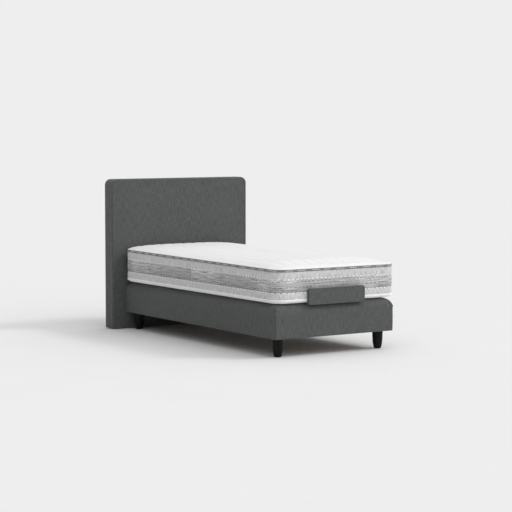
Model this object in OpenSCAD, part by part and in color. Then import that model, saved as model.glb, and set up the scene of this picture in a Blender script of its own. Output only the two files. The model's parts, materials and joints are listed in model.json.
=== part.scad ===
// Single bed with an electric adjustable base, in millimetres.
// X runs across the width, +Y towards the head, +Z up. The origin is on the floor, under the middle
// of the whole bed. Left is -X, as seen from the foot.

/* [Box] */
// Length of the padded box
bed_l = 2100; // [2000:10:2200]
// Width of the padded box
bed_w = 1000; // [900:10:1200]
// Height of the padded box, without its legs
box_h = 237; // [230:1:260]
// Radius of the rounded top edge of the box
rim_r = 64; // [50:1:64]
// Width of the padded rim, seen from above
rim_w = 70; // [68:1:74]
// Thickness of the padding on the outside of the rails
pad_t = 14; // [8:1:20]
// Thickness of the wooden rails
rail_t = 22; // [18:1:24]

/* [Legs] */
// Height of the legs, glides included
leg_h = 130; // [110:5:180]
// Radius of a leg where it meets the box
leg_top_r = 38.5; // [30:0.5:45]
// Radius of a leg at its ankle, below which it narrows quickly
leg_ankle_r = 35; // [28:0.5:40]
// Height of the ankle above the floor
leg_ankle_h = 45; // [30:1:70]
// Radius of a leg near the floor
leg_foot_r = 27; // [18:0.5:30]
// Distance from the side of the box to the middle of a leg
leg_in_x = 72; // [66:1:90]
// Distance from the end of the box to the middle of a leg
leg_in_y = 84; // [70:1:100]

/* [Headboard] */
// Width of the headboard
headboard_w = 1236; // [1100:10:1400]
// Height of the headboard above the floor
headboard_h = 1166; // [900:10:1300]
// Thickness of the headboard
headboard_t = 120; // [110:1:140]
// Radius of the headboard's top corners
headboard_r = 48; // [20:1:70]

/* [Mattress] */
// Width of the mattress
mattress_w = 1000; // [880:5:1190]
// Length of the mattress
mattress_l = 2085; // [1980:5:2190]
// Height of the mattress at its edge
mattress_h = 245; // [180:5:260]
// Extra height of the mattress in the middle of its width
mattress_crown = 36; // [10:1:40]
// Radius of the mattress corners, seen from above
mattress_r = 90; // [40:5:120]

/* [Mattress stop] */
// Width of the mattress stop
stop_w = 477; // [300:1:600]
// Height of the mattress stop
stop_h = 113; // [80:1:140]
// Distance that the stop stands out past the foot end of the box
stop_out = 22; // [20:1:30]

/* [Platform] */
// Length of the back section
back_l = 740; // [700:10:800]
// Length of the fixed seat section
seat_l = 300; // [280:5:320]
// Length of the thigh section
thigh_l = 370; // [350:5:400]
// Largest angle of the back section
back_max = 55; // [30:1:55]
// Largest angle of the thigh section
thigh_max = 30; // [15:1:30]
// Width of a slat
slat_w = 50; // [40:1:55]
// Distance from one slat to the next
slat_pitch = 68; // [64:1:80]

/* [Lifting gears] */
// Length of the lift arms of the back section
back_arm = 250; // [230:5:255]
// Length of the lift arms of the thigh section
thigh_arm = 130; // [120:5:140]
// Length of the lever that each drive pushes
lever_l = 55; // [50:1:56]
// Outer radius of the torsion tubes
torsion_r = 15; // [12:1:15]

/* [Hidden] */
$fn = 64;

// Ends of the box, with the whole bed centred on Y = 0
foot_y = -(bed_l + headboard_t + stop_out) / 2 + stop_out;
head_y = foot_y + bed_l;
half_w = bed_w / 2;
box_top = leg_h + box_h;

// Wooden rails: a plank with a batten along the inside of its top
rail_under = 2;
rail_h = 208;
batten_h = 22;
rail_in = pad_t + rail_t;
inner_lip_r = 6;
rim_solid = box_h - rim_r;

// Glides, studs and bolts
glide_h = 4;
glide_r = 16;
stud_r = 5;
bolt_r = 4;
hole_gap = 0.05;
block_h = 40;
stud_low = 95;

// Steel tubes: the hinge line runs through the middle of the section tubes
tube_wall = 2;
section_tube_w = 30;
section_tube_h = 20;
tube_x = 400;
tube_in_x = tube_x - section_tube_w / 2;
tube_out_x = tube_x + section_tube_w / 2;
base_tube_h = 40;
hinge_drop = 32;
base_tube_drop = 97;
hinge_z = box_top - hinge_drop;
base_tube_z = box_top - base_tube_drop;
tube_low = hinge_z - section_tube_h / 2;
tube_high = hinge_z + section_tube_h / 2;
tube_end_gap = 15;
cross_tube_w = 30;

// Hinge lines and the far ends of the sections
hip_y = head_y - 80 - back_l;
lap_y = hip_y - seat_l;
knee_y = lap_y - thigh_l;
calf_l = knee_y - (foot_y + 80);
drive_cross_y = hip_y + 390;
shaft_r = 7;
ear_t = 6;
ear_r = 12;

// Slats lie in rubber holders on the side tubes
slat_t = 10;
slat_top = box_top + 1;
slat_half = 410;
holder_w = 31;
holder_wall = 3;
holder_lip = 2;

// Lifting gears
torsion_wall = 2.5;
arm_t = 8;
arm_x = 338;
arm_r = 12;
arm_eye_r = 20;
roller_r = 14;
roller_w = 25;
roller_pin_r = 6;
roller_gap = 0.3;
track_t = 4;
track_w = 35;
bearing_t = 32;
bearing_half = 20;
// Room between the swinging side tubes and the shafts and blocks beside them
shaft_end_gap = 12;
back_gear_y = hip_y + back_arm;
thigh_gear_y = lap_y - thigh_arm;

// Calf links are as long as the thigh section, so the calf section stays level
link_pivot_y = knee_y - 100;
link_far_y = link_pivot_y - thigh_l;

// Drives hang under the torsion tubes
drive_half_w = 55;
drive_wall = 6;
drive_top = hinge_z - torsion_r - 2;
drive_h = 62;
drive_front = 75;
drive_back = 300;
lever_tip_r = 12;
lever_half_w = 6;
slider_l = 50;
slider_low = hinge_z - 70;
ear_in = 14;

// Headboard: padding in front of and around its board, and the bolts that hold it
headboard_pad = 47;
headboard_edge = 20;
cloth_t = 3;
cloth_inset = 10;
bolt_xs = [-300, 300];
bolt_zs = [180, 280];
bolt_l = 113;
headboard_glide_xs = [160, 520];

// Mattress, cut into parts by planes that lean half as far as the sections turn
hip_lean = back_max / 2;
lap_lean = thigh_max / 2;
mattress_gap = 4.6;
mattress_z = box_top + mattress_gap;
mattress_foot = foot_y + (bed_l - mattress_l) / 2;
mattress_head = mattress_foot + mattress_l;
body_gap = 0.3;

// Mattress stop
stop_z = box_top - 12;
stop_t = 25.5;
stop_front = foot_y - stop_out;
stop_rear = stop_front + stop_t;
stop_board_t = 12;
stop_border = 10;
strap_w = 30;
strap_t = 3;
strap_x = 130;

fabric_grey = [0.34, 0.35, 0.35];
wood = [0.80, 0.66, 0.46];
steel_black = [0.13, 0.13, 0.14];
rubber_black = [0.08, 0.08, 0.08];
zinc = [0.72, 0.73, 0.74];
mattress_white = [0.90, 0.90, 0.89];
plastic_grey = [0.25, 0.25, 0.27];

// ---- Helpers ----

// The children, and the same mirrored to the other side
module both_sides() {
    children();
    mirror([1, 0, 0]) children();
}

// A round bar along X, from x to x + l, through the point (y, z)
module bar_x(x, l, r, y, z) {
    translate([x, y, z]) rotate([0, 90, 0]) cylinder(r = r, h = l);
}

// A hollow rectangular tube along Y
module tube_y(x, y0, y1, z, w, h) {
    translate([x - w / 2, y0, z]) difference() {
        cube([w, y1 - y0, h]);
        translate([tube_wall, -1, tube_wall])
            cube([w - 2 * tube_wall, y1 - y0 + 2, h - 2 * tube_wall]);
    }
}

// A hollow rectangular tube along X, between the two side tubes
module tube_across(y, z, w, h) {
    translate([-tube_in_x, y - w / 2, z]) difference() {
        cube([2 * tube_in_x, w, h]);
        translate([-1, tube_wall, tube_wall])
            cube([2 * tube_in_x + 2, w - 2 * tube_wall, h - 2 * tube_wall]);
    }
}

// A flat bar in the YZ plane with round ends, from (0, 0) to (length, 0) along Y
module round_bar(length, r0, r1, t) {
    rotate([90, 0, 90]) linear_extrude(t) {
        circle(r = r0);
        translate([length, 0]) circle(r = r1);
        translate([0, -r1]) square([length, 2 * r1]);
    }
}

// ---- Box ----

// Cross-section of the padded cover: first axis inwards from the outside, second axis up
module cover_section() {
    difference() {
        union() {
            square([rim_w, rim_solid]);
            intersection() {
                translate([rim_r, rim_solid]) circle(r = rim_r, $fn = 96);
                square([rim_w - inner_lip_r, box_h]);
            }
            translate([rim_r - 1, rim_solid - 1])
                square([rim_w - inner_lip_r - rim_r + 1, rim_r + 1]);
            translate([rim_w - inner_lip_r - 1, rim_solid - 1])
                square([inner_lip_r + 1, rim_r + 1 - inner_lip_r]);
            translate([rim_w - inner_lip_r, box_h - inner_lip_r]) circle(r = inner_lip_r);
        }
        translate([pad_t, rail_under]) square([rail_t, rail_h]);
        translate([rail_in, -1]) square([rim_w, rail_under + rail_h - batten_h + 1]);
        translate([rail_in - 1, rail_under + rail_h - batten_h - 1])
            square([rim_w - rail_in - 4 + 1, batten_h + 1]);
    }
}

// One run of cover along Y on the left side, with its ends cut at 45 degrees
module cover_run(outer_x, y0, y1) {
    intersection() {
        translate([outer_x, y1, leg_h]) rotate([90, 0, 0])
            linear_extrude(y1 - y0) cover_section();
        translate([outer_x, 0, leg_h - 1]) linear_extrude(box_h + 2)
            polygon([[0, y0], [rim_w + 1, y0 + rim_w + 1], [rim_w + 1, y1 - rim_w - 1], [0, y1]]);
    }
}

// The same run laid along X at the foot end
module cover_across() {
    rotate([0, 0, 90]) cover_run(0, -half_w, half_w);
}

module side_cover_left() {
    color(fabric_grey) cover_run(-half_w, foot_y, head_y);
}

module side_cover_right() {
    color(fabric_grey) mirror([1, 0, 0]) cover_run(-half_w, foot_y, head_y);
}

module foot_cover() {
    color(fabric_grey) translate([0, foot_y, 0]) cover_across();
}

module head_cover() {
    color(fabric_grey) difference() {
        translate([0, head_y, 0]) mirror([0, 1, 0]) cover_across();
        headboard_bolt_holes();
    }
}

// A side rail: the plank, and a batten that stops short of the end battens
module side_rail() {
    translate([-half_w + pad_t, foot_y + pad_t, leg_h + rail_under])
        cube([rail_t, bed_l - 2 * pad_t, rail_h]);
    translate([-half_w + rail_in, foot_y + rim_w - 4, leg_h + rail_under + rail_h - batten_h])
        cube([rim_w - 4 - rail_in, bed_l - 2 * (rim_w - 4), batten_h]);
}

module side_rail_left() {
    color(wood) side_rail();
}

module side_rail_right() {
    color(wood) mirror([1, 0, 0]) side_rail();
}

module end_rail() {
    translate([-half_w + rail_in, pad_t, leg_h + rail_under])
        cube([bed_w - 2 * rail_in, rail_t, rail_h]);
    translate([-half_w + rail_in, rail_in, leg_h + rail_under + rail_h - batten_h])
        cube([bed_w - 2 * rail_in, rim_w - 4 - rail_in, batten_h]);
}

module foot_rail() {
    color(wood) translate([0, foot_y, 0]) end_rail();
}

module head_rail() {
    color(wood) difference() {
        translate([0, head_y, 0]) mirror([0, 1, 0]) end_rail();
        headboard_bolt_holes();
    }
}

// ---- Legs ----

// Places the children at each of the four leg positions
module at_legs() {
    for (x = [-1, 1], y = [foot_y + leg_in_y, head_y - leg_in_y])
        translate([x * (half_w - leg_in_x), y, 0]) children();
}

module corner_blocks() {
    block_w = 84;
    block_l = 104;
    color(wood) difference() {
        both_sides() for (y = [foot_y + rail_in, head_y - rail_in - block_l])
            translate([-half_w + rail_in, y, leg_h + rail_under]) cube([block_w, block_l, block_h]);
        at_legs() translate([0, 0, leg_h]) cylinder(r = stud_r, h = block_h);
    }
}

// One turned leg standing on its glide: a slightly bulging taper with a rounded foot
// Points that round off the corner b between a and c
function eased_corner(a, b, c) = [for (t = [0 : 0.2 : 1])
    let (reach = 0.3, p = b + (a - b) * reach, q = b + (c - b) * reach)
    (1 - t) * (1 - t) * p + 2 * t * (1 - t) * b + t * t * q
];

module leg() {
    foot_round = 4;
    low = [leg_foot_r, glide_h + foot_round];
    ankle = [leg_ankle_r, leg_ankle_h];
    top = [leg_top_r, leg_h];
    foot = [for (a = [-90 : 22.5 : -22.5]) [
        leg_foot_r - foot_round + foot_round * cos(a),
        glide_h + foot_round + foot_round * sin(a)
    ]];
    side = concat([low], eased_corner(low, ankle, top), [top]);
    color(steel_black) difference() {
        rotate_extrude() polygon(concat([[0, glide_h]], foot, side, [[0, leg_h]]));
        translate([0, 0, stud_low]) cylinder(r = stud_r, h = leg_h);
    }
}

module foot_leg_left() {
    translate([-half_w + leg_in_x, foot_y + leg_in_y, 0]) leg();
}

module foot_leg_right() {
    translate([half_w - leg_in_x, foot_y + leg_in_y, 0]) leg();
}

module head_leg_left() {
    translate([-half_w + leg_in_x, head_y - leg_in_y, 0]) leg();
}

module head_leg_right() {
    translate([half_w - leg_in_x, head_y - leg_in_y, 0]) leg();
}

module leg_studs() {
    color(zinc) at_legs() translate([0, 0, stud_low]) cylinder(r = stud_r, h = 70);
}

module floor_glides() {
    color(rubber_black) {
        at_legs() cylinder(r = glide_r, h = glide_h);
        both_sides() for (x = headboard_glide_xs)
            translate([x, head_y + headboard_t / 2, 0]) cylinder(r = glide_r, h = glide_h);
    }
}

// ---- Headboard ----

// Outline of the headboard: a rectangle with round top corners
module headboard_outline(inset, r) {
    w = headboard_w - 2 * inset;
    h = headboard_h - glide_h - 2 * inset;
    translate([-w / 2, glide_h + inset]) {
        square([w, h - r]);
        translate([r, 0]) square([w - 2 * r, h]);
        translate([r, h - r]) circle(r = r);
        translate([w - r, h - r]) circle(r = r);
    }
}

// A slab of the headboard, from y0 to y1
module headboard_slab(y0, y1, inset, r) {
    translate([0, y1, 0]) rotate([90, 0, 0]) linear_extrude(y1 - y0) headboard_outline(inset, r);
}

// Places the children at each headboard bolt
module at_headboard_bolts() {
    for (x = bolt_xs, z = bolt_zs) translate([x, 0, z]) children();
}

module headboard_bolt_holes() {
    at_headboard_bolts() translate([0, head_y - rail_in - 1, 0])
        rotate([-90, 0, 0]) cylinder(r = bolt_r + hole_gap, h = bolt_l + 2);
}

module headboard_panel() {
    color(wood) difference() {
        headboard_slab(head_y + headboard_pad, head_y + headboard_t - cloth_t,
            headboard_edge, headboard_r - headboard_edge);
        headboard_bolt_holes();
    }
}

module headboard_cover() {
    color(fabric_grey) difference() {
        headboard_slab(head_y, head_y + headboard_t - cloth_t, 0, headboard_r);
        headboard_slab(head_y + headboard_pad, head_y + headboard_t,
            headboard_edge, headboard_r - headboard_edge);
        headboard_bolt_holes();
    }
}

module headboard_back_cloth() {
    color(rubber_black)
        headboard_slab(head_y + headboard_t - cloth_t, head_y + headboard_t,
            cloth_inset, headboard_r - cloth_inset);
}

module headboard_bolts() {
    head_t = 5;
    head_r = 7.5;
    color(zinc) at_headboard_bolts() translate([0, head_y - rail_in, 0]) rotate([-90, 0, 0]) {
        cylinder(r = bolt_r, h = bolt_l);
        translate([0, 0, -head_t]) cylinder(r = head_r, h = head_t);
    }
}

// ---- Base frame ----

module base_side_tubes() {
    color(steel_black) both_sides()
        tube_y(tube_x, foot_y + rail_in, head_y - rail_in, base_tube_z, section_tube_w, base_tube_h);
}

module base_cross_tubes() {
    seat_mid = (back_gear_y + thigh_gear_y) / 2;
    color(steel_black)
        for (y = [foot_y + 130, knee_y - 200, knee_y + 80, seat_mid, drive_cross_y, head_y - 150])
            tube_across(y, base_tube_z, cross_tube_w, base_tube_h);
}

// Steel angles that carry the base frame on the side rails
module frame_brackets() {
    bracket_l = 60;
    plate_t = 4;
    reach = half_w - rail_in - tube_out_x;
    color(steel_black) both_sides() for (y = [foot_y + 250, hip_y - 150, head_y - 300])
        translate([tube_out_x, y, base_tube_z]) {
            cube([reach, bracket_l, plate_t]);
            cube([plate_t, bracket_l, base_tube_h]);
            translate([reach - plate_t, 0, 0]) cube([plate_t, bracket_l, base_tube_h]);
        }
}

// One bearing block on the inside of the right-hand base tube
module bearing_block(y) {
    low = base_tube_z + 2;
    step_z = base_tube_z + 20;
    block_top = hinge_z + 17;
    difference() {
        union() {
            translate([tube_in_x - bearing_t, y - bearing_half, low])
                cube([bearing_t, 2 * bearing_half, step_z - low]);
            translate([tube_in_x - bearing_t, y - bearing_half, low])
                cube([bearing_t - shaft_end_gap, 2 * bearing_half, block_top - low]);
        }
        bar_x(tube_in_x - bearing_t - 1, bearing_t + 2, torsion_r + hole_gap, y, hinge_z);
    }
}

module bearing_blocks() {
    color(plastic_grey) both_sides()
        for (y = [back_gear_y, thigh_gear_y, link_pivot_y]) bearing_block(y);
}

module rest_pads() {
    pad_l = 40;
    pad_w = 24;
    pad_top = tube_low - body_gap;
    base_top = base_tube_z + base_tube_h;
    color(rubber_black) both_sides()
        for (y = [hip_y + 60, hip_y + 620, lap_y - 200, knee_y - 60, knee_y - 440])
            translate([tube_x - pad_w / 2, y - pad_l / 2, base_top])
                cube([pad_w, pad_l, pad_top - base_top]);
}

// ---- Platform sections ----

// Eye plate on the end of a side tube, around a hinge line; dir is the way from the hinge to the tube
module hinge_ear(x, y, dir, hole_r) {
    difference() {
        union() {
            bar_x(x, ear_t, ear_r, y, hinge_z);
            translate([x, dir > 0 ? y : y - 2 * tube_end_gap, hinge_z - section_tube_h / 2])
                cube([ear_t, 2 * tube_end_gap, section_tube_h]);
        }
        bar_x(x - 1, ear_t + 2, hole_r, y, hinge_z);
    }
}

module outer_ear(y, dir) {
    hinge_ear(tube_out_x, y, dir, shaft_r);
}

module inner_ear(y, dir) {
    hinge_ear(tube_in_x - ear_t, y, dir, shaft_r + hole_gap);
}

module section_tube(y0, y1) {
    tube_y(tube_x, y0, y1, tube_low, section_tube_w, section_tube_h);
}

// Steel angle along the inside of a side tube, on which a lift roller runs
module roller_track(y0, y1) {
    track_z = hinge_z + roller_r + roller_gap;
    web_low = hinge_z - 5;
    translate([tube_in_x - track_w, y0, track_z]) cube([track_w, y1 - y0, track_t]);
    translate([tube_in_x - holder_wall, y0, web_low]) cube([holder_wall, y1 - y0, track_z - web_low + 1]);
}

// Middles of the slats of a section, from y0 up to y1
function slat_rows(y0, y1) = [for (y = [y0 : slat_pitch : y1 + 0.1]) y];

seat_rows = slat_rows(hip_y - 195, hip_y - 120);
back_rows = slat_rows(hip_y + 110, hip_y + back_l - 30);
thigh_rows = slat_rows(lap_y - 300, lap_y - 90);
calf_rows = slat_rows(knee_y - 485, knee_y - 60);

module slats(rows) {
    color(wood) for (y = rows)
        translate([-slat_half, y - slat_w / 2, slat_top - slat_t])
            cube([2 * slat_half, slat_w, slat_t]);
}

// Rubber cups on the side tubes, one for each slat end
module slat_holders(rows) {
    cup_l = slat_w + 2 * holder_wall;
    cup_h = slat_top - holder_lip - tube_high;
    color(rubber_black) both_sides() for (y = rows)
        translate([slat_half + holder_wall + 4 - holder_w, y - cup_l / 2, tube_high]) difference() {
            cube([holder_w, cup_l, cup_h]);
            translate([-4 - holder_wall, holder_wall, slat_top - slat_t - tube_high])
                cube([holder_w, slat_w, slat_t]);
        }
}

module seat_side_tubes() {
    color(steel_black) both_sides() {
        section_tube(lap_y + tube_end_gap, hip_y - tube_end_gap);
        outer_ear(hip_y, -1);
        outer_ear(lap_y, 1);
        for (y = [hip_y - 60, lap_y + 60])
            translate([tube_x - 10, y - 15, base_tube_z + base_tube_h])
                cube([20, 30, tube_low - base_tube_z - base_tube_h]);
    }
}

module seat_slats() {
    slats(seat_rows);
}

module seat_slat_holders() {
    slat_holders(seat_rows);
}

module hinge_shafts() {
    reach = tube_out_x + ear_t;
    color(zinc) for (y = [hip_y, lap_y]) bar_x(-reach, 2 * reach, shaft_r, y, hinge_z);
}

module back_side_tubes() {
    far = hip_y + back_l;
    color(steel_black) both_sides() {
        section_tube(hip_y + tube_end_gap, far);
        inner_ear(hip_y, 1);
        roller_track(back_gear_y + bearing_half + 2, hip_y + 2 * back_arm + 30);
    }
}

module back_cross_tubes() {
    color(steel_black) for (y = [hip_y + 2 * back_arm + 50, hip_y + back_l - 15])
        tube_across(y, tube_low, cross_tube_w, section_tube_h);
}

module back_slats() {
    slats(back_rows);
}

module back_slat_holders() {
    slat_holders(back_rows);
}

module thigh_side_tubes() {
    track_near = lap_y - 2 * thigh_arm * cos(thigh_max) + 18;
    color(steel_black) both_sides() {
        section_tube(knee_y + tube_end_gap, lap_y - tube_end_gap);
        inner_ear(lap_y, -1);
        outer_ear(knee_y, 1);
        roller_track(lap_y - 2 * thigh_arm - 20, track_near);
    }
}

module knee_shaft() {
    reach = tube_out_x + ear_t;
    color(zinc) bar_x(-reach, 2 * reach, shaft_r, knee_y, hinge_z);
}

module thigh_slats() {
    slats(thigh_rows);
}

module thigh_slat_holders() {
    slat_holders(thigh_rows);
}

module calf_side_tubes() {
    pin_x = arm_x - 2;
    color(steel_black) both_sides() {
        section_tube(knee_y - calf_l, knee_y - tube_end_gap);
        inner_ear(knee_y, -1);
        bar_x(pin_x, tube_in_x - pin_x, roller_pin_r, link_far_y, hinge_z);
    }
}

module calf_cross_tube() {
    color(steel_black) tube_across(knee_y - calf_l + 15, tube_low, cross_tube_w, section_tube_h);
}

module calf_slats() {
    slats(calf_rows);
}

module calf_slat_holders() {
    slat_holders(calf_rows);
}

// ---- Lifting gears ----

// A torsion tube along X with the drive's lever hanging from its middle, for a gear whose arms lie
// towards +Y; rest_angle is the lever's lean from straight down
module torsion_tube(rest_angle) {
    half = tube_in_x - shaft_end_gap;
    color(zinc) difference() {
        union() {
            bar_x(-half, 2 * half, torsion_r, 0, 0);
            rotate([rest_angle, 0, 0]) {
                translate([-lever_half_w, -lever_half_w, -lever_l])
                    cube([2 * lever_half_w, 2 * lever_half_w, lever_l]);
                bar_x(-lever_half_w, 2 * lever_half_w, lever_tip_r, 0, -lever_l);
            }
        }
        bar_x(-half - 1, 2 * half + 2, torsion_r - torsion_wall, 0, 0);
    }
}

// The two arms, each welded round the torsion tube at one end and with a roller pin at the other
module lift_arms(length) {
    color(steel_black) both_sides() {
        translate([arm_x, 0, 0]) difference() {
            round_bar(length, arm_eye_r, arm_r, arm_t);
            bar_x(-1, arm_t + 2, torsion_r, 0, 0);
        }
        bar_x(arm_x + arm_t, tube_in_x - 5 - arm_x - arm_t, roller_pin_r, length, 0);
    }
}

module rollers(length) {
    roller_x = arm_x + arm_t + 6;
    color(rubber_black) both_sides() difference() {
        bar_x(roller_x, roller_w, roller_r, length, 0);
        bar_x(roller_x - 1, roller_w + 2, roller_pin_r + hole_gap, length, 0);
    }
}

// A closed drive under its torsion tube, with a slot in its top for the lever, two ears that hang on
// the tube, and the motor across its far end
module drive_housing() {
    slot_half_l = 62;
    slot_half_w = 9;
    ear_w = 8;
    ear_r = torsion_r + 6;
    motor_r = 29;
    motor_l = 100;
    motor_in = 10;
    plug = [40, 26, 20];
    floor_z = drive_top - drive_h - hinge_z;
    hollow_y = -drive_back + 2 * (motor_r + motor_in);
    color(plastic_grey) difference() {
        union() {
            translate([-drive_half_w, -drive_back, floor_z])
                cube([2 * drive_half_w, drive_back + drive_front, drive_h]);
            bar_x(drive_half_w, motor_l, motor_r, -drive_back + motor_r + motor_in, floor_z + motor_r);
            both_sides() translate([ear_in, 0, 0]) {
                bar_x(0, ear_w, ear_r, 0, 0);
                translate([0, -ear_r, floor_z + drive_h]) cube([ear_w, 2 * ear_r, torsion_r + 2]);
            }
            translate([-plug[0] / 2, -drive_back - plug[1] + 1, floor_z + plug[2]]) cube(plug);
        }
        translate([-drive_half_w + drive_wall, hollow_y, floor_z + drive_wall])
            cube([2 * (drive_half_w - drive_wall), drive_front - drive_wall - hollow_y,
                drive_h - 2 * drive_wall]);
        translate([-slot_half_w, -slot_half_l, -torsion_r - 20])
            cube([2 * slot_half_w, 2 * slot_half_l, 21]);
        bar_x(ear_in - 1, ear_w + 2, torsion_r + hole_gap, 0, 0);
        bar_x(-ear_in - ear_w - 1, ear_w + 2, torsion_r + hole_gap, 0, 0);
    }
}

// The slider inside a drive: swing is half the lever's whole swing
module drive_slider(swing, gap) {
    face_y = -lever_l * sin(swing) - lever_tip_r - gap;
    top_z = -lever_l * cos(swing) - 0.5;
    low_z = slider_low - hinge_z;
    half = drive_half_w - drive_wall - 1;
    color(zinc) translate([-half, face_y - slider_l, low_z]) cube([2 * half, slider_l, top_z - low_z]);
}

// Puts a gear made for arms towards +Y at its torsion tube; the leg gear faces the foot end
module at_back_gear() {
    translate([0, back_gear_y, hinge_z]) children();
}

module at_leg_gear() {
    translate([0, thigh_gear_y, hinge_z]) mirror([0, 1, 0]) children();
}

module back_torsion_tube() {
    at_back_gear() torsion_tube(-back_max);
}

module back_lift_arms() {
    at_back_gear() lift_arms(back_arm);
}

module back_rollers() {
    at_back_gear() rollers(back_arm);
}

module back_drive_housing() {
    at_back_gear() drive_housing();
}

module back_drive_slider() {
    at_back_gear() drive_slider(back_max, 3.4);
}

module leg_torsion_tube() {
    at_leg_gear() torsion_tube(-thigh_max);
}

module leg_lift_arms() {
    at_leg_gear() lift_arms(thigh_arm);
}

module leg_rollers() {
    at_leg_gear() rollers(thigh_arm);
}

module leg_drive_housing() {
    at_leg_gear() drive_housing();
}

module leg_drive_slider() {
    at_leg_gear() drive_slider(thigh_max, 1);
}

module calf_links() {
    color(steel_black) both_sides() translate([arm_x, link_pivot_y, hinge_z]) mirror([0, 1, 0])
        difference() {
            round_bar(thigh_l, arm_eye_r, arm_r, arm_t);
            bar_x(-1, arm_t + 2, torsion_r, 0, 0);
            bar_x(-1, arm_t + 2, roller_pin_r + hole_gap, thigh_l, 0);
        }
}

module calf_link_shaft() {
    half = tube_in_x - shaft_end_gap;
    color(zinc) difference() {
        bar_x(-half, 2 * half, torsion_r, link_pivot_y, hinge_z);
        bar_x(-half - 1, 2 * half + 2, torsion_r - torsion_wall, link_pivot_y, hinge_z);
    }
}

// The control box beside a cross tube, with a recessed mains inlet in the side that faces the head
module control_box() {
    box = [160, 120, 46];
    inlet = [20, 12, 9];
    corner = [-240, drive_cross_y + cross_tube_w / 2, base_tube_z - 6];
    color(plastic_grey) difference() {
        translate(corner) cube(box);
        translate(corner + [(box[0] - inlet[0]) / 2, box[1] - inlet[1], (box[2] - inlet[2]) / 2])
            cube([inlet[0], inlet[1] + 1, inlet[2]]);
    }
}

// ---- Mattress stop ----

module stop_straps() {
    riser_y = knee_y - calf_l + 10;
    plate_z = box_top + 1.2;
    up_y = stop_rear;
    up_top = stop_z + 85;
    color(steel_black) for (x = [-strap_x, strap_x])
        translate([x - strap_w / 2, 0, 0]) rotate([90, 0, 90]) linear_extrude(strap_w) polygon([
            [riser_y + strap_t, tube_high], [riser_y + strap_t, plate_z + strap_t],
            [up_y + strap_t, plate_z + strap_t], [up_y + strap_t, up_top],
            [up_y, up_top], [up_y, plate_z],
            [riser_y, plate_z], [riser_y, tube_high]
        ]);
}

// A flat slab with round corners, standing across the foot end
module stop_slab(y0, y1, inset, top_r, low_r) {
    w = stop_w - 2 * inset;
    h = stop_h - 2 * inset;
    translate([-w / 2, y1, stop_z + inset]) rotate([90, 0, 0]) linear_extrude(y1 - y0) {
        translate([0, low_r]) square([w, h - low_r - top_r]);
        translate([top_r, low_r]) square([w - 2 * top_r, h - low_r]);
        translate([low_r, 0]) square([w - 2 * low_r, low_r + 1]);
        for (x = [low_r, w - low_r]) translate([x, low_r]) circle(r = low_r);
        for (x = [top_r, w - top_r]) translate([x, h - top_r]) circle(r = top_r);
    }
}

module stop_board() {
    color(wood) stop_slab(stop_rear - stop_board_t, stop_rear, stop_border, 12, 2);
}

module stop_cover() {
    color(fabric_grey) difference() {
        stop_slab(stop_front, stop_rear, 0, 20, 6);
        stop_slab(stop_rear - stop_board_t, stop_rear + 1, stop_border, 12, 2);
    }
}

// ---- Mattress ----

// The mattress's outside: blunt corners in plan, and a top that rises to the middle
module mattress_block() {
    half = mattress_w / 2;
    full_h = mattress_h + mattress_crown;
    crown = [for (i = [-6 : 6]) let (t = i / 6)
        [-half * t, mattress_h + mattress_crown * (1 - t * t)]];
    intersection() {
        translate([0, mattress_foot, mattress_z]) linear_extrude(full_h) {
            translate([-half, mattress_r]) square([mattress_w, mattress_l - 2 * mattress_r]);
            translate([-half + mattress_r, 0]) square([mattress_w - 2 * mattress_r, mattress_l]);
            for (x = [-1, 1], y = [mattress_r, mattress_l - mattress_r])
                translate([x * (half - mattress_r), y]) circle(r = mattress_r, $fn = 12);
        }
        translate([0, mattress_head + 1, mattress_z]) rotate([90, 0, 0])
            linear_extrude(mattress_l + 2) polygon(concat([[-half, 0], [half, 0]], crown));
    }
}

// The stretch of mattress between two planes through hinge lines y0 and y1, each leaning by its
// angle from upright, towards +Y when positive
module mattress_part(y0, lean0, y1, lean1) {
    rise = mattress_h + mattress_crown + mattress_z - hinge_z + 5;
    color(mattress_white) intersection() {
        mattress_block();
        translate([-bed_w, 0, hinge_z]) rotate([90, 0, 90]) linear_extrude(2 * bed_w)
            polygon([[y0, 0], [y1, 0], [y1 + rise * tan(lean1), rise], [y0 + rise * tan(lean0), rise]]);
    }
}

module mattress_back() {
    mattress_part(hip_y + 2 * body_gap, hip_lean, mattress_head + 1, 0);
}

module mattress_seat() {
    mattress_part(lap_y + body_gap, -lap_lean, hip_y - body_gap, hip_lean);
}

module mattress_thigh() {
    mattress_part(knee_y + body_gap, 0, lap_y - 2 * body_gap, -lap_lean);
}

module mattress_calf() {
    mattress_part(mattress_foot - 1, 0, knee_y - body_gap, 0);
}

// ---- Nodes ----

side_rail_left();
side_rail_right();
foot_rail();
head_rail();
corner_blocks();
side_cover_left();
side_cover_right();
foot_cover();
head_cover();
foot_leg_left();
foot_leg_right();
head_leg_left();
head_leg_right();
leg_studs();
floor_glides();
headboard_panel();
headboard_cover();
headboard_back_cloth();
headboard_bolts();
base_side_tubes();
base_cross_tubes();
frame_brackets();
bearing_blocks();
rest_pads();
seat_side_tubes();
seat_slats();
seat_slat_holders();
hinge_shafts();
back_drive_housing();
back_drive_slider();
leg_drive_housing();
leg_drive_slider();
control_box();
back_side_tubes();
back_cross_tubes();
back_slats();
back_slat_holders();
back_torsion_tube();
back_lift_arms();
back_rollers();
thigh_side_tubes();
knee_shaft();
thigh_slats();
thigh_slat_holders();
leg_torsion_tube();
leg_lift_arms();
leg_rollers();
calf_side_tubes();
calf_cross_tube();
calf_slats();
calf_slat_holders();
calf_links();
calf_link_shaft();
stop_straps();
stop_board();
stop_cover();
mattress_back();
mattress_seat();
mattress_thigh();
mattress_calf();
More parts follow.
